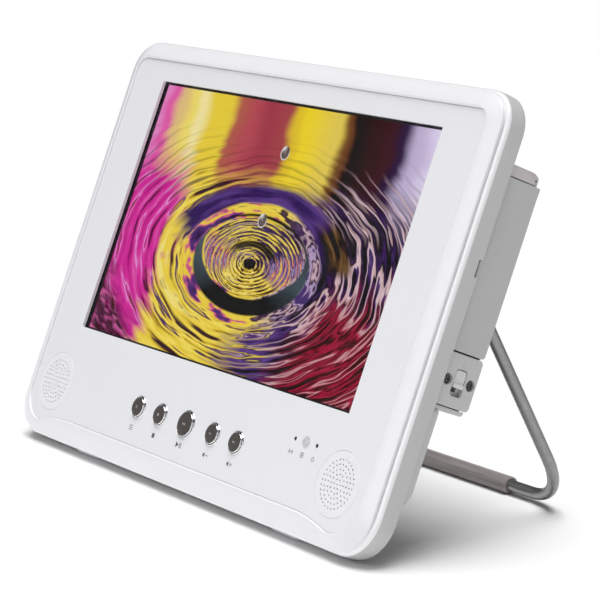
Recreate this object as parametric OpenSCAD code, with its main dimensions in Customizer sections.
// Portable television with disc player, standing on its rear wire stand.
// Every part is drawn upright in the case's own frame and leaned back at the end:
// +X to the viewer's right, +Y into the case, +Z up, the middle of the screen at the
// front panel's face as the zero point. The finished model stands on z = 0.

/* [Case] */
// Outside width of the rear shell
case_w = 356; // [350:2:366]
// Rear shell above the middle of the screen
case_top = 99.1; // [98:0.1:104]
// Rear shell below the middle of the screen
case_bottom = -143.3; // [-150:0.1:-143]
// Depth from the panel's face to the back of the shell
shell_back = 16; // [16:0.5:18]
// Depth from the panel's face to the back of the rear housing
housing_back = 39.2; // [38.6:0.2:40]
// Lean of the case on its stand, in degrees from upright
tilt = 22.2; // [15:0.1:26]

/* [Screen] */
// Width of the window in the front panel
window_w = 268; // [240:1:270]
// Height of the window in the front panel
window_h = 150.8; // [130:0.2:151]
// Black border that the gasket leaves inside the window
mask_border = 1.6; // [1:0.1:4]

/* [Controls] */
// Height of the row of buttons, from the middle of the screen
button_z = -108.4; // [-110:0.1:-106]
// Radius of the four smaller button caps
button_r = 5.5; // [5:0.1:6]
// Radius of the play button's cap
play_r = 6.9; // [6.5:0.1:7.4]
// How far a button presses in
button_travel = 0.8; // [0.4:0.1:0.8]
// How far the latch slides
latch_travel = 4; // [3:0.5:4]

/* [Speakers] */
// Distance of each speaker from the middle
speaker_x = 142.6; // [140:0.1:143]
// Height of the speakers, from the middle of the screen
speaker_z = -110.5; // [-112:0.1:-110]
// Radius of the round grille
grille_r = 17.3; // [16:0.1:17.5]
// Rings of holes round the grille's middle hole
grille_rings = 5; // [3:1:5]

/* [Stand] */
// Thickness of the stand's rod
rod_d = 6.5; // [5:0.5:7]
// Distance of each leg from the middle
leg_x = 147; // [144:1:148]
// Length of a leg from its pivot to the crossbar
leg_len = 132; // [120:1:134]
// Outside thickness of the soft sleeve on the crossbar
sleeve_d = 9.6; // [9:0.2:10]
// Length of the sleeve
sleeve_len = 199; // [150:1:210]

/* [Hidden] */
$fn = 48;

// Small play between a moving part and what guides it
running_play = 0.06;
// Gap between parts of one body that lie against each other
seat_gap = 0.05;
// Overlap that lets a cutter pass through a face
through = 1;

// Front panel and bezel
panel_t = 2;
panel_half_w = 165.3;
panel_top = 87.5;
panel_bottom = -129.7;
ear_bottom = -134.3;
ear_r = 18;
ear_blend_r = 110;
bezel_half_w = case_w / 2 - 3.1;
bezel_top = case_top - 2.1;
bezel_bottom = case_bottom + 1.8;
bezel_edge = 2.8;
bezel_lip = -1;
bezel_solid_back = 4.4;
bezel_back = 8;
rim_front = 4.2;

// Screen stack, front to back
lens_front = panel_t + seat_gap;
lens_back = lens_front + 1.2;
gasket_back = lens_back + 1;
glass_back = gasket_back + 2;
light_back = glass_back + 2.9;
chassis_back = light_back + 1;

// Buttons from left to right: position and radius
button_xs = [-49.5, -26.7, 0, 26.7, 49.5];
button_rs = [button_r, button_r, play_r, button_r, button_r];
ring_w = 1.05;
cap_front = -1.6;
cap_dome = 0.4;
cap_flange_front = panel_t + 0.12;
cap_flange_back = cap_flange_front + 0.85;
cap_stem_back = cap_flange_back + 0.3;
mat_dome_front = cap_stem_back + button_travel + 0.1;
mat_front = mat_dome_front + 0.85;
mat_back = mat_front + 0.8;
board_back = mat_back + 1.7;

// Indicators
led_xs = [98, 117.2];
led_z = -95.9;
led_r = 1.05;
ir_x = 107.7;
ir_r = 3.3;

// Rear housing
shell_half_w = case_w / 2;
house_half_w = shell_half_w - 3;
house_top = 66.2;
house_bottom = -60;
house_mid = (house_top + house_bottom) / 2;
house_wall = 2.1;
cover_t = 2.15;
cover_front = housing_back - cover_t;
pad_back = shell_back + 4.3;
pad_bottom = -106;
pad_taper = 9;
pad_half_w = house_half_w + 1.4;
split_x = 67;
boss_xs = [73, 157];
boss_zs = [house_bottom + 5.4, house_top - 5.6];

// Service door on the right side, hung from a pin under the hinge block
door_top = 59.9;
door_bottom = -29.6;
door_t = 3.2;
door_skin = 0.85;
side_r = 1.5;
door_inner = house_half_w - door_t;
wall_out = door_inner - 1.4;
door_axis_x = house_half_w - 2.5;
door_axis_z = 57.8;
hinge_block_x = house_half_w - 0.1;
hinge_block_back = housing_back - 2.8;
lip_back = 36.4;
knuckle_r = 1.4;
pin_r = 0.7;
door_sweep_r = 3.5;
door_knuckles = [[18, 24.8], [30.2, 36.5]];
door_ear = [25, 30];
bay_y = [20.5, 33.5];
bay_z = [-24, 53];
bay_floor = 158;

// Latch
latch_z = [-57.2, -30.4];
latch_inner = 163.05;
latch_mid_y = 27.5;
latch_back = housing_back - 0.4;
latch_corner_r = 2.4;
thumb_z = [-47.2, -38.1];
thumb_half = 3.35;
pocket_x = house_half_w - 3;
latch_screw_ys = [20, 35];
latch_screw_z = -44;

// Disc drive
disc_z = house_mid;
well_r = 60.9;
tray_y = [24, 25.5, 34.5];
sled_home_x = 32;
sled_travel = 22;
sled_y = 20.3;
sled_half = 1.7;
rail_z = 15;
rail_r = 1;
rail_x = [17, 64];
screw_z = -21;
screw_r = 1.3;
lid_axis_y = housing_back - 1.2;
lid_axis_z = house_top + 1.8;
lid_pin_r = 0.9;

// Stand
rod_r = rod_d / 2;
pivot_y = 45;
pivot_z = -1.3;
pin_end_x = 125;
pin_bend_r = 8;
foot_bend_r = 30;
bracket_r = pivot_y - housing_back - seat_gap;

// The leaned pose: heights of the sole line and the crossbar fix the floor
sole_y = 15.5;
sole_z = case_bottom - 0.5;
sole_flat = 2;
function lean_y(y, z) = y * cos(tilt) + z * sin(tilt);
function lean_z(y, z) = -y * sin(tilt) + z * cos(tilt);
floor_z = lean_z(sole_y, sole_z);
front_y = lean_y(bezel_lip, bezel_bottom + 5.9);
bar_drop = lean_z(pivot_y, pivot_z) - floor_z - sleeve_d / 2;
stand_angle = acos(bar_drop / leg_len);
bar_y = lean_y(pivot_y, pivot_z) + leg_len * sin(stand_angle);
mid_y = (front_y + bar_y + sleeve_d / 2) / 2;

// ---- shared shapes ----

// Leans the case back and stands it on z = 0
module placed() {
    translate([0, -mid_y, -floor_z])
        rotate([-tilt, 0, 0])
            children();
}

// Extrudes an outline drawn in X and Z over a range of depths
module slab(y0, y1) {
    translate([0, y1, 0])
        rotate([90, 0, 0])
            linear_extrude(y1 - y0)
                children();
}

// A box from its low corner to its high corner
module block(low, high) {
    translate(low)
        cube(high - low);
}

// A rod along X, Y or Z
module rod_x(r, x0, x1, y, z) {
    translate([x0, y, z])
        rotate([0, 90, 0])
            cylinder(r = r, h = x1 - x0);
}

module rod_y(r, y0, y1, x, z) {
    translate([x, y0, z])
        rotate([-90, 0, 0])
            cylinder(r = r, h = y1 - y0);
}

module rod_z(r, z0, z1, x, y) {
    translate([x, y, z0])
        cylinder(r = r, h = z1 - z0);
}

// A plate across X that starts at y0 and has its two rear corners rounded
module rear_rounded(x0, x1, y0, y1, z0, z1, r_low, r_high) {
    low = [for (a = [-90 : 15 : 0]) [y1 - r_low + r_low * cos(a), z0 + r_low + r_low * sin(a)]];
    high = [for (a = [0 : 15 : 90]) [y1 - r_high + r_high * cos(a), z1 - r_high + r_high * sin(a)]];
    translate([x0, 0, 0])
        rotate([90, 0, 90])
            linear_extrude(x1 - x0)
                polygon(concat([[y0, z0]], low, high, [[y0, z1]]));
}

// A turned part about an axis along Y, from a profile of [radius, depth] points
module turned(points) {
    rotate([-90, 0, 0])
        rotate_extrude()
            polygon(points);
}

// Outline of a face with its own radius for the top and the bottom corners
module face(half_w, top, bottom, r_top, r_bottom) {
    hull()
        for (s = [-1, 1]) {
            translate([s * (half_w - r_top), top - r_top])
                circle(r_top);
            translate([s * (half_w - r_bottom), bottom + r_bottom])
                circle(r_bottom);
        }
}

// Outline of the front panel: it dips round the two speakers
module panel_outline() {
    offset(r = -ear_blend_r, $fn = 180)
        offset(r = ear_blend_r, $fn = 180)
            union() {
                face(panel_half_w, panel_top, panel_bottom, 7, ear_r - 4);
                for (s = [-1, 1])
                    translate([s * (panel_half_w - ear_r), ear_bottom + ear_r])
                        circle(ear_r);
            }
}

module window_outline(grow = 0) {
    square([window_w + 2 * grow, window_h + 2 * grow], center = true);
}

module shell_outline(inset = 0) {
    face(shell_half_w - inset, case_top - inset, case_bottom + inset, 20 - inset / 2, 24 - inset / 2);
}

// ---- front ----

module front_bezel() {
    color("white")
        placed()
            difference() {
                union() {
                    hull() {
                        slab(bezel_edge, bezel_solid_back)
                            face(bezel_half_w, bezel_top, bezel_bottom, 17.5, 21);
                        slab(bezel_lip, bezel_lip + 0.1)
                            face(panel_half_w + 2, panel_top + 0.8, bezel_bottom + 5.9, 9, 16);
                    }
                    slab(bezel_solid_back - 0.2, bezel_back)
                        face(bezel_half_w, bezel_top, bezel_bottom, 17.5, 21);
                }
                slab(bezel_lip - through, panel_t + seat_gap / 2)
                    offset(delta = 0.1)
                        panel_outline();
                slab(0, bezel_back + through)
                    offset(delta = -4)
                        panel_outline();
                slab(bezel_solid_back, bezel_back + through)
                    face(bezel_half_w - 2.2, bezel_top - 2.2, bezel_bottom + 2.2, 15.5, 19);
            }
}

module front_panel() {
    color("whitesmoke")
        placed()
            slab(0, panel_t)
                difference() {
                    panel_outline();
                    window_outline();
                    for (s = [-1, 1])
                        translate([s * speaker_x, speaker_z])
                            circle(grille_r + 0.08);
                    for (i = [0 : 4])
                        translate([button_xs[i], button_z])
                            circle(button_rs[i] + ring_w + 0.08);
                    for (x = led_xs)
                        translate([x, led_z])
                            circle(led_r + 0.05);
                    translate([ir_x, led_z])
                        circle(ir_r + 0.05);
                }
}

// A middle hole and rings of six holes more each
module ring_holes(rings, pitch, r) {
    circle(r, $fn = 6);
    for (ring = [1 : rings])
        for (k = [0 : 6 * ring - 1])
            rotate(k * 60 / ring)
                translate([ring * pitch, 0])
                    circle(r, $fn = 6);
}

module speaker_grille(side) {
    color("whitesmoke")
        placed()
            translate([side * speaker_x, 0, speaker_z])
                slab(0, 1.6)
                    difference() {
                        circle(grille_r);
                        ring_holes(grille_rings, 2.52, 0.5);
                    }
}

module speaker_grille_left() {
    speaker_grille(-1);
}

module speaker_grille_right() {
    speaker_grille(1);
}

module window_lens() {
    color("lightcyan", 0.4)
        placed()
            slab(lens_front, lens_back)
                window_outline(5);
}

module screen_gasket() {
    color("black")
        placed()
            slab(lens_back + seat_gap, gasket_back)
                difference() {
                    window_outline(5);
                    window_outline(-mask_border);
                }
}

module lcd_glass() {
    color("darkslateblue")
        placed()
            slab(gasket_back + seat_gap, glass_back)
                window_outline(3);
}

module lcd_backlight() {
    color("gainsboro")
        placed()
            slab(glass_back + seat_gap, light_back)
                window_outline(2.5);
}

module lcd_chassis() {
    color("silver")
        placed()
            difference() {
                slab(gasket_back + seat_gap, chassis_back)
                    window_outline(5.5);
                slab(gasket_back - through, light_back + seat_gap)
                    window_outline(3.3);
                for (x = [-90, 0, 90])
                    slab(light_back, chassis_back + through)
                        translate([x, 0])
                            square([60, 90], center = true);
            }
}

// ---- buttons and indicators ----

// Turned cap: a domed face, a flange that stops it behind the panel and a stem
module button_cap(i) {
    r = button_rs[i];
    dome_r = (r * r + cap_dome * cap_dome) / (2 * cap_dome);
    dome = [for (k = [0 : 8]) [r * k / 8, cap_front + dome_r - sqrt(pow(dome_r, 2) - pow(r * k / 8, 2))]];
    back = [
        [r, cap_flange_front], [r + 0.9, cap_flange_front], [r + 0.9, cap_flange_back],
        [2.2, cap_flange_back], [2.2, cap_stem_back], [0, cap_stem_back]
    ];
    color("dimgray")
        placed()
            translate([button_xs[i], 0, button_z])
                turned(concat(dome, back));
}

module button_menu() {
    button_cap(0);
}

module button_stop() {
    button_cap(1);
}

module button_play() {
    button_cap(2);
}

module button_volume_down() {
    button_cap(3);
}

module button_volume_up() {
    button_cap(4);
}

module button_rings() {
    color("silver")
        placed()
            for (i = [0 : 4])
                translate([button_xs[i], 0, button_z])
                    difference() {
                        rod_y(button_rs[i] + ring_w, -0.45, panel_t - 0.1, 0, 0);
                        rod_y(button_rs[i] + 0.15, -through, panel_t + through, 0, 0);
                    }
}

module keypad_mat() {
    color("lightgray")
        placed() {
            slab(mat_front, mat_back)
                translate([-60, button_z - 8.5])
                    square([120, 17]);
            for (x = button_xs)
                rod_y(3.2, mat_dome_front, mat_front + 0.1, x, button_z);
        }
}

module key_board() {
    color("darkgreen")
        placed()
            slab(mat_back + seat_gap, board_back)
                translate([-64, button_z - 10])
                    square([186, 28]);
}

module led_lenses() {
    color("black")
        placed()
            for (x = led_xs)
                rod_y(led_r, -0.1, mat_back, x, led_z);
}

module ir_grille() {
    color("white")
        placed()
            translate([ir_x, 0, led_z])
                slab(0, 1.2)
                    difference() {
                        circle(ir_r);
                        ring_holes(2, 1.15, 0.36);
                    }
}

module ir_receiver() {
    color("black")
        placed()
            slab(panel_t + 0.3, mat_back)
                translate([ir_x - 3, led_z - 3])
                    square(6);
}

// ---- speakers ----

module speaker_driver(side) {
    color("dimgray")
        placed()
            translate([side * speaker_x, 0, speaker_z])
                turned([[14, 2.3], [16.8, 2.3], [16.8, 3.5], [15, 3.5], [10, 8], [10, 13.2],
                        [0, 13.2], [0, 9.4], [7, 9.4], [7, 8], [13.6, 3.5], [14, 3]]);
}

module speaker_left() {
    speaker_driver(-1);
}

module speaker_right() {
    speaker_driver(1);
}

module speaker_cone(side) {
    color("black")
        placed()
            translate([side * speaker_x, 0, speaker_z])
                turned([[0, 5.6], [4, 6.4], [12.6, 2.9], [13.8, 2.4], [13.8, 2.8], [12.7, 3.4],
                        [4.6, 7], [4.6, 9], [4.1, 9], [4, 6.9], [0, 6.1]]);
}

module speaker_cone_left() {
    speaker_cone(-1);
}

module speaker_cone_right() {
    speaker_cone(1);
}

// ---- shell and rear housing ----

module case_seal() {
    color("gray")
        placed()
            slab(rim_front + 0.5, 7.4)
                difference() {
                    face(bezel_half_w + 0.8, bezel_top + 0.8, bezel_bottom - 0.75, 18.3, 21.8);
                    face(bezel_half_w + 0.1, bezel_top + 0.1, bezel_bottom - 0.1, 17.6, 21.1);
                }
}

module shell_rim() {
    difference() {
        union() {
            slab(rim_front, shell_back - 1)
                shell_outline();
            slab(shell_back - 1.1, shell_back)
                shell_outline(0.8);
        }
        slab(rim_front - through, bezel_back + 0.2)
            face(bezel_half_w + 1, bezel_top + 1, bezel_bottom - 0.9, 18.5, 22);
        slab(bezel_back, shell_back - 2)
            shell_outline(2.3);
        slab(0, shell_back + through)
            translate([-160, house_bottom + 5])
                square([320, house_top - house_bottom - 10]);
        step_cavity();
        // nail notch beside the service door
        block([house_half_w - 0.2, shell_back - 2.8, 7], [shell_half_w + through, shell_back + through, 16]);
    }
}

// Low step that carries the housing down the back of the case
module shell_step() {
    difference() {
        translate([-pad_half_w, 0, 0])
            rotate([90, 0, 90])
                linear_extrude(2 * pad_half_w)
                    polygon([
                        [shell_back - 0.2, house_bottom + 0.1], [shell_back - 0.2, pad_bottom - pad_taper],
                        [shell_back, pad_bottom - pad_taper], [pad_back, pad_bottom],
                        [pad_back, house_bottom + 0.1]
                    ]);
        step_cavity();
    }
}

// Space inside the step, open to the inside of the shell
module step_cavity() {
    block([1 - house_half_w, shell_back - 3, pad_bottom + 2],
          [house_half_w - 1, pad_back - 2, house_bottom + 1]);
}

module housing_walls() {
    difference() {
        union() {
            block([-house_half_w, shell_back - 0.1, house_bottom], [wall_out, cover_front, house_top]);
            // lip under the latch block
            rear_rounded(wall_out - 1, house_half_w, shell_back - 0.1, lip_back,
                         house_bottom, latch_z[0] - 0.45, 1.8, 0.2);
            hinge_block();
        }
        block([-house_half_w + house_wall, 0, house_bottom + house_wall],
              [latch_inner - house_wall, cover_front + through, house_top - house_wall]);
        // space behind the service door's wall
        block([latch_inner - house_wall - 1, shell_back + 1.5, door_bottom - 0.5],
              [wall_out - house_wall, cover_front + through, house_top - 6.4]);
        // seat of the latch block
        block([latch_inner - 0.05, shell_back, latch_z[0] - 0.15],
              [wall_out + through, cover_front + through, door_bottom - 0.2]);
        // mouth of the jack bay
        block([wall_out - 4, bay_y[0], bay_z[0]], [wall_out + through, bay_y[1], bay_z[1]]);
        for (y = latch_screw_ys)
            rod_x(1.5, latch_inner - 8, latch_inner + through, y, latch_screw_z);
    }
    housing_bosses();
    door_pin_ear();
    lid_ears();
}

// Block over the door, hollowed below so that the door's top edge can swing
module hinge_block() {
    difference() {
        rear_rounded(wall_out - 1, hinge_block_x, shell_back - 0.1, hinge_block_back,
                     door_axis_z, house_top, 0.2, 2.3);
        rod_y(door_sweep_r, shell_back, housing_back, door_axis_x, door_axis_z);
    }
}

// Ear on the side wall that holds the middle of the door's pin
module door_pin_ear() {
    difference() {
        union() {
            rod_y(knuckle_r, door_ear[0], door_ear[1], door_axis_x, door_axis_z);
            block([wall_out - 0.1, door_ear[0], door_axis_z - knuckle_r],
                  [door_axis_x, door_ear[1], door_axis_z + knuckle_r]);
        }
        rod_y(pin_r, door_ear[0] - 1, door_ear[1] + 1, door_axis_x, door_axis_z);
    }
}

module housing_bosses() {
    for (s = [-1, 1], x = boss_xs, z = boss_zs)
        difference() {
            rod_y(4, shell_back - 0.5, cover_front, s * x, z);
            rod_y(1.5, cover_front - 8, cover_front + through, s * x, z);
        }
    for (y = latch_screw_ys)
        difference() {
            rod_x(3.2, latch_inner - 6, latch_inner - 1, y, latch_screw_z);
            rod_x(1.5, latch_inner - 7, latch_inner, y, latch_screw_z);
            block([0, cover_front, house_bottom], [latch_inner, housing_back, 0]);
        }
}

// Fixed ears of the disc lid's two hinges
module lid_ears() {
    for (s = [-1, 1])
        difference() {
            union() {
                rod_x(1.7, s * 47.3 - 3, s * 47.3 + 3, lid_axis_y, lid_axis_z);
                block([s * 47.3 - 3, lid_axis_y - 5, house_top - 0.1],
                      [s * 47.3 + 3, lid_axis_y, lid_axis_z + 1.2]);
            }
            rod_x(lid_pin_r + running_play, s * 47.3 - 4, s * 47.3 + 4, lid_axis_y, lid_axis_z);
        }
}

module rear_shell() {
    color("white")
        placed() {
            shell_rim();
            shell_step();
            housing_walls();
        }
}

// Outline of the right back cover: it clears the latch block and the door
module cover_outline() {
    difference() {
        translate([split_x + 0.15, house_bottom + 0.2])
            square([door_inner - split_x - 0.7, house_top - house_bottom - 0.3]);
        translate([latch_inner - 0.2, house_bottom - 1])
            square([20, latch_z[1] - house_bottom + 1.4]);
    }
}

module cover_holes() {
    for (x = boss_xs, z = boss_zs) {
        rod_y(1.6, cover_front - through, housing_back + through, x, z);
        rod_y(2.9, housing_back - 1.3, housing_back + through, x, z);
    }
    for (z = [pivot_z - 9, pivot_z + 9])
        rod_y(1.3, cover_front - through, housing_back + through, 131.5, z);
}

module back_cover_right() {
    color("white")
        placed()
            difference() {
                slab(cover_front + seat_gap, housing_back)
                    cover_outline();
                cover_holes();
                // room for the door's top edge when it swings
                rod_y(door_sweep_r, cover_front, housing_back + through, door_axis_x, door_axis_z);
            }
}

module back_cover_left() {
    color("white")
        placed()
            mirror([1, 0, 0])
                difference() {
                    slab(cover_front + seat_gap, housing_back)
                        translate([split_x + 0.15, house_bottom + 0.2])
                            square([house_half_w - split_x - 0.2, house_top - house_bottom - 0.3]);
                    cover_holes();
                }
}

// Cross-head screw along Y, its head at the given depth
module screw_y(x, y_head, z, head_r, shank_r, len) {
    difference() {
        union() {
            rod_y(head_r, y_head - 1.2, y_head, x, z);
            rod_y(shank_r, y_head - len, y_head - 1.1, x, z);
        }
        for (a = [0, 90])
            translate([x, y_head, z])
                rotate([0, a, 0])
                    cube([head_r * 1.2, 1.2, 0.5], center = true);
    }
}

module cover_screws() {
    color("silver")
        placed()
            for (s = [-1, 1], x = boss_xs, z = boss_zs)
                screw_y(s * x, housing_back - 0.05, z, 2.7, 1.4, 9);
}

// ---- disc drive ----

module disc_lid() {
    color("white")
        placed()
            difference() {
                union() {
                    slab(cover_front + seat_gap, housing_back)
                        translate([-split_x + 0.15, house_bottom + 0.2])
                            square([2 * split_x - 0.3, lid_axis_z - 2.4 - house_bottom]);
                    for (s = [-1, 1]) {
                        rod_x(1.7, s * 38.9 - 5, s * 38.9 + 5, lid_axis_y, lid_axis_z);
                        block([s * 38.9 - 5, lid_axis_y - 0.6, lid_axis_z - 3],
                              [s * 38.9 + 5, housing_back, lid_axis_z]);
                    }
                    // finger pull
                    block([-12, housing_back - 0.1, house_bottom + 3],
                          [12, housing_back + 1.4, house_bottom + 5]);
                }
                for (s = [-1, 1])
                    rod_x(lid_pin_r + running_play, s * 38.9 - 6, s * 38.9 + 6, lid_axis_y, lid_axis_z);
            }
}

module lid_pins() {
    color("silver")
        placed()
            for (s = [-1, 1])
                rod_x(lid_pin_r, s * 42.4 - 8.4, s * 42.4 + 8.4, lid_axis_y, lid_axis_z);
}

module disc_tray() {
    color("darkgray")
        placed()
            difference() {
                union() {
                    slab(tray_y[0], tray_y[2])
                        translate([-split_x + 1, house_bottom + house_wall + 0.1])
                            square([2 * split_x - 2, house_top - house_bottom - 2 * house_wall - 0.2]);
                    // hangers of the two rails
                    for (x = rail_x, z = [disc_z - rail_z, disc_z + rail_z])
                        block([x - 2, sled_y - 2, z - 2], [x + 1.5, tray_y[0] + 0.1, z + 2]);
                }
                rod_y(well_r, tray_y[1], tray_y[2] + through, 0, disc_z);
                // turntable opening and pickup slot
                rod_y(5, tray_y[0] - through, tray_y[1] + through, 0, disc_z);
                block([sled_home_x - 11, tray_y[0] - through, disc_z - 11],
                      [sled_home_x + sled_travel + 5, tray_y[1] + through, disc_z + 11]);
                for (z = [-rail_z, rail_z])
                    rod_x(rail_r + 0.02, rail_x[0] - 1, rail_x[1] + 1, sled_y, disc_z + z);
            }
}

module turntable() {
    color("black")
        placed()
            translate([0, 0, disc_z]) {
                rod_y(15, 27, 28.6, 0, 0);
                rod_y(7.3, 28.5, 31.6, 0, 0);
                turned([[0, 31.5], [7.3, 31.5], [5.2, 33], [0, 33]]);
                rod_y(1, 20, 27.1, 0, 0);
            }
}

module spindle_motor() {
    color("silver")
        placed()
            translate([0, 0, disc_z])
                difference() {
                    union() {
                        rod_y(12, 18.6, tray_y[0] - seat_gap, 0, 0);
                        rod_y(4, tray_y[0] - 0.1, tray_y[0] + 0.8, 0, 0);
                    }
                    rod_y(1 + running_play, 19.8, 26, 0, 0);
                }
}

module pickup_sled() {
    color("dimgray")
        placed()
            translate([sled_home_x, 0, disc_z])
                difference() {
                    union() {
                        block([-8, sled_y - sled_half, screw_z - 3], [2, sled_y + sled_half, 18]);
                        block([-6, sled_y + sled_half - 0.1, -6], [0, 26.4, 6]);
                        rod_y(2.2, 26.3, 27.4, -3, 0);
                    }
                    for (z = [-rail_z, rail_z])
                        rod_x(rail_r + running_play, -9, 3, sled_y, z);
                    rod_x(screw_r + running_play, -9, 3, sled_y, screw_z);
                }
}

module sled_rails() {
    color("silver")
        placed()
            for (z = [-rail_z, rail_z])
                rod_x(rail_r, rail_x[0] - 1, rail_x[1] + 1, sled_y, disc_z + z);
}

module lead_screw() {
    color("silver")
        placed() {
            rod_x(screw_r, 19, 61, sled_y, disc_z + screw_z);
            rod_x(screw_r + 0.9, 61, 62.2, sled_y, disc_z + screw_z);
        }
}

module sled_motor() {
    color("silver")
        placed()
            difference() {
                rod_x(3.4, 6, 20, sled_y, disc_z + screw_z);
                rod_x(screw_r + running_play, 18.5, 21, sled_y, disc_z + screw_z);
            }
}

// ---- service door and jacks ----

// Section of the door seen from above: its outer rear corner is round
module door_outline() {
    hull() {
        translate([door_inner, shell_back + 0.4])
            square([door_t, 1]);
        translate([door_inner, housing_back - 1])
            square([0.5, 1]);
        translate([house_half_w - side_r, housing_back - side_r])
            circle(side_r);
    }
}

module service_door() {
    color("white")
        placed()
            difference() {
                union() {
                    translate([0, 0, door_bottom])
                        linear_extrude(door_top - door_bottom)
                            door_outline();
                    for (y = door_knuckles)
                        rod_y(knuckle_r, y[0], y[1], door_axis_x, door_axis_z);
                }
                // recess behind the top edge, left full at the two knuckles
                door_recess(shell_back, door_knuckles[0][0]);
                door_recess(door_knuckles[0][1], door_knuckles[1][0]);
                door_recess(door_knuckles[1][1], housing_back - 0.9);
                for (y = door_knuckles)
                    door_knuckle_relief(y);
                rod_y(pin_r + running_play, 17, 37.5, door_axis_x, door_axis_z);
            }
}

module door_recess(y0, y1) {
    block([door_inner - through, y0, door_axis_z - 2.3],
          [house_half_w - door_skin, y1, door_top + through]);
}

// Takes the slab away round a knuckle, apart from the web that joins it to the skin
module door_knuckle_relief(y) {
    difference() {
        block([door_inner - through, y[0] - 0.01, door_axis_z - 2.3],
              [house_half_w - door_skin, y[1] + 0.01, door_top + through]);
        rod_y(knuckle_r, y[0] - 1, y[1] + 1, door_axis_x, door_axis_z);
        block([door_axis_x, y[0] - 1, door_axis_z - knuckle_r],
              [house_half_w, y[1] + 1, door_axis_z + knuckle_r]);
    }
}

module door_pin() {
    color("silver")
        placed()
            rod_y(pin_r, door_knuckles[0][0], door_knuckles[1][1], door_axis_x, door_axis_z);
}

module door_seal() {
    color("gray")
        placed()
            difference() {
                block([wall_out + 0.15, bay_y[0] - 1.8, bay_z[0] - 1.8],
                      [door_inner - seat_gap, bay_y[1] + 1.8, bay_z[1] + 1.8]);
                block([wall_out - through, bay_y[0] - 0.2, bay_z[0] - 0.2],
                      [door_inner + through, bay_y[1] + 0.2, bay_z[1] + 0.2]);
            }
}

// Places of the jacks down the bay's floor
dc_z = 42;
phone_zs = [28, 15];
card_z = [-21, 4];

module jack_bay() {
    color("dimgray")
        placed()
            difference() {
                block([bay_floor - 1.6, bay_y[0] - 1.4, bay_z[0] - 1.4],
                      [wall_out - house_wall - seat_gap, bay_y[1] + 1.4, bay_z[1] + 1.4]);
                block([bay_floor, bay_y[0], bay_z[0]], [wall_out, bay_y[1], bay_z[1]]);
                rod_x(4.1, bay_floor - 3, bay_floor + 1, 27, dc_z);
                for (z = phone_zs)
                    rod_x(3.1, bay_floor - 3, bay_floor + 1, 27, z);
                block([bay_floor - 3, 25.2, card_z[0]], [bay_floor + 1, 28.8, card_z[1]]);
            }
}

module jack_board() {
    color("darkgreen")
        placed()
            block([140, 19.5, bay_z[0] - 2], [141.6, 35, bay_z[1] + 2]);
}

module dc_jack() {
    color("black")
        placed()
            difference() {
                union() {
                    block([141.7, 22, dc_z - 5], [bay_floor - 1.7, 32, dc_z + 5]);
                    rod_x(4, bay_floor - 1.8, bay_floor + 1.5, 27, dc_z);
                }
                difference() {
                    rod_x(2.75, bay_floor - 8, bay_floor + 2, 27, dc_z);
                    rod_x(0.65, bay_floor - 9, bay_floor + 1, 27, dc_z);
                }
            }
}

module phone_jacks() {
    color("black")
        placed()
            for (z = phone_zs)
                difference() {
                    union() {
                        block([141.7, 23, z - 4.5], [bay_floor - 1.7, 31, z + 4.5]);
                        rod_x(3, bay_floor - 1.8, bay_floor + 1.5, 27, z);
                    }
                    rod_x(1.8, bay_floor - 12, bay_floor + 2, 27, z);
                }
}

module card_slot() {
    color("silver")
        placed()
            difference() {
                block([141.7, 25.3, card_z[0] + 0.1], [bay_floor - 0.2, 28.7, card_z[1] - 0.1]);
                block([143, 25.9, card_z[0] + 0.7], [bay_floor + 1, 28.1, card_z[1] - 0.7]);
            }
}

// ---- latch ----

module latch_block() {
    color("white")
        placed()
            difference() {
                rear_rounded(latch_inner, house_half_w, shell_back + 0.4, latch_back,
                             latch_z[0], latch_z[1], latch_corner_r, latch_corner_r);
                // pocket that the thumb piece slides in
                block([pocket_x, latch_mid_y - thumb_half - 0.2, thumb_z[0] - latch_travel - 0.2],
                      [house_half_w + through, latch_mid_y + thumb_half + 0.2, thumb_z[1] + 0.2]);
                // slot for the stem and room for the bolt behind
                block([latch_inner - through, latch_mid_y - 1.6, thumb_z[0] - latch_travel + 1.8],
                      [pocket_x + through, latch_mid_y + 1.6, thumb_z[1] - 1.8]);
                block([latch_inner - through, latch_mid_y - 4.2, thumb_z[0] - latch_travel],
                      [latch_inner + 3, latch_mid_y + 4.2, latch_z[1] + through]);
                for (y = latch_screw_ys) {
                    rod_x(1.6, latch_inner - through, house_half_w, y, latch_screw_z);
                    rod_x(2.8, house_half_w - 2.9, house_half_w + through, y, latch_screw_z);
                }
            }
}

module latch_slider() {
    color("whitesmoke")
        placed() {
            block([pocket_x + 0.15, latch_mid_y - thumb_half, thumb_z[0]],
                  [house_half_w - 0.4, latch_mid_y + thumb_half, thumb_z[1]]);
            block([house_half_w - 0.5, latch_mid_y - thumb_half, thumb_z[0]],
                  [house_half_w + 1, latch_mid_y + thumb_half, thumb_z[0] + 2.4]);
            block([latch_inner + 2.6, latch_mid_y - 1.4, thumb_z[0] + 2],
                  [pocket_x + 0.2, latch_mid_y + 1.4, thumb_z[1] - 2]);
        }
}

// Plate behind the block; its nose stops just under the door's edge
module latch_bolt() {
    color("silver")
        placed()
            block([latch_inner + 0.3, latch_mid_y - 3.9, thumb_z[0] + 0.5],
                  [latch_inner + 2.5, latch_mid_y + 3.9, latch_z[1] + 0.2]);
}

module latch_screws() {
    color("dimgray")
        placed()
            for (y = latch_screw_ys)
                translate([house_half_w - 1.6, y, latch_screw_z])
                    rotate([0, 0, -90])
                        screw_y(0, 0, 0, 2.65, 1.4, 15);
}

// ---- stand ----

// Turns a shape drawn with the leg along -Z to the leg's own lean
module leg_frame() {
    translate([0, pivot_y, pivot_z])
        rotate([stand_angle + tilt, 0, 0])
            children();
}

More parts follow.
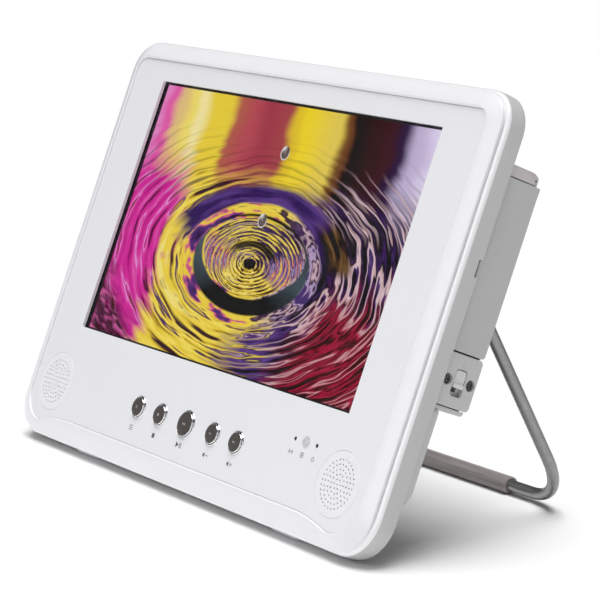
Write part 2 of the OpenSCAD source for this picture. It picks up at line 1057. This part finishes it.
// Quarter bend in the X-Z plane; its centre at the given place
module quarter_bend(r, x, z, start) {
    translate([x, 0, z])
        rotate([90, 0, 0])
            rotate([0, 0, start])
                rotate_extrude(angle = 90)
                    translate([r, 0])
                        circle(rod_r);
}

module half_stand() {
    rod_x(rod_r, pin_end_x, leg_x - pin_bend_r, 0, 0);
    quarter_bend(pin_bend_r, leg_x - pin_bend_r, -pin_bend_r, 0);
    rod_z(rod_r, -leg_len + foot_bend_r, -pin_bend_r, leg_x, 0);
    quarter_bend(foot_bend_r, leg_x - foot_bend_r, -leg_len + foot_bend_r, 270);
    rod_x(rod_r, 0, leg_x - foot_bend_r, 0, -leg_len);
}

module stand_rod() {
    color("silver")
        placed()
            leg_frame() {
                half_stand();
                mirror([1, 0, 0])
                    half_stand();
            }
}

module stand_sleeve() {
    color("rosybrown")
        placed()
            leg_frame()
                difference() {
                    rod_x(sleeve_d / 2, -sleeve_len / 2, sleeve_len / 2, 0, -leg_len);
                    rod_x(rod_r + 0.02, -sleeve_len / 2 - through, sleeve_len / 2 + through, 0, -leg_len);
                }
}

module bracket(side) {
    color("white")
        placed()
            difference() {
                union() {
                    rod_x(bracket_r, side * 131.5 - 6, side * 131.5 + 6, pivot_y, pivot_z);
                    block([side * 131.5 - 6, housing_back + seat_gap, pivot_z - bracket_r],
                          [side * 131.5 + 6, pivot_y, pivot_z + bracket_r]);
                    block([side * 131.5 - 6, housing_back + seat_gap, pivot_z - 13],
                          [side * 131.5 + 6, housing_back + 2.4, pivot_z + 13]);
                }
                rod_x(rod_r + running_play, side * 131.5 - 7, side * 131.5 + 7, pivot_y, pivot_z);
                for (z = [pivot_z - 9, pivot_z + 9])
                    rod_y(1.4, housing_back - through, housing_back + 4, side * 131.5, z);
            }
}

module stand_bracket_left() {
    bracket(-1);
}

module stand_bracket_right() {
    bracket(1);
}

module bracket_screws() {
    color("silver")
        placed()
            for (s = [-1, 1], z = [pivot_z - 9, pivot_z + 9])
                screw_y(s * 131.5, housing_back + 3.7, z, 2.4, 1.2, 7);
}

module feet() {
    color("white")
        placed()
            for (s = [-1, 1])
                translate([s * 101 - 11, 0, 0])
                    rotate([90, 0, 90])
                        linear_extrude(22)
                            polygon([
                                [9.5, case_bottom - seat_gap], [sole_y + 0.2, case_bottom - seat_gap],
                                [sole_y, sole_z],
                                [sole_y - sole_flat * cos(tilt), sole_z - sole_flat * sin(tilt)],
                                [10.5, sole_z - 0.6], [9.5, case_bottom - 0.4]
                            ]);
}

// ---- electronics ----

module main_board() {
    color("darkgreen")
        placed()
            slab(chassis_back + 0.6, chassis_back + 2.2)
                translate([-80, -55])
                    square([160, 105]);
}

module board_parts() {
    color("black")
        placed()
            for (p = [[-50, 20, 22], [0, -20, 26], [42, 22, 18], [48, -30, 12], [-55, -35, 10]])
                slab(chassis_back + 2.25, chassis_back + 3.6)
                    translate([p[0], p[1]])
                        square(p[2], center = true);
}

module battery_pack() {
    color("slategray")
        placed()
            block([-160, 19.5, -48], [-82, 34, 54]);
}

module tuner_can() {
    color("silver")
        placed()
            block([84, 19.5, -40], [126, 30, 10]);
}

// ---- output ----

front_bezel();
front_panel();
speaker_grille_left();
speaker_grille_right();
window_lens();
screen_gasket();
lcd_glass();
lcd_backlight();
lcd_chassis();
button_menu();
button_stop();
button_play();
button_volume_down();
button_volume_up();
button_rings();
keypad_mat();
key_board();
led_lenses();
ir_grille();
ir_receiver();
speaker_left();
speaker_right();
speaker_cone_left();
speaker_cone_right();
case_seal();
rear_shell();
back_cover_left();
back_cover_right();
cover_screws();
disc_lid();
lid_pins();
disc_tray();
turntable();
spindle_motor();
pickup_sled();
sled_rails();
lead_screw();
sled_motor();
service_door();
door_pin();
door_seal();
jack_bay();
jack_board();
dc_jack();
phone_jacks();
card_slot();
latch_block();
latch_slider();
latch_bolt();
latch_screws();
stand_rod();
stand_sleeve();
stand_bracket_left();
stand_bracket_right();
bracket_screws();
feet();
main_board();
board_parts();
battery_pack();
tuner_can();
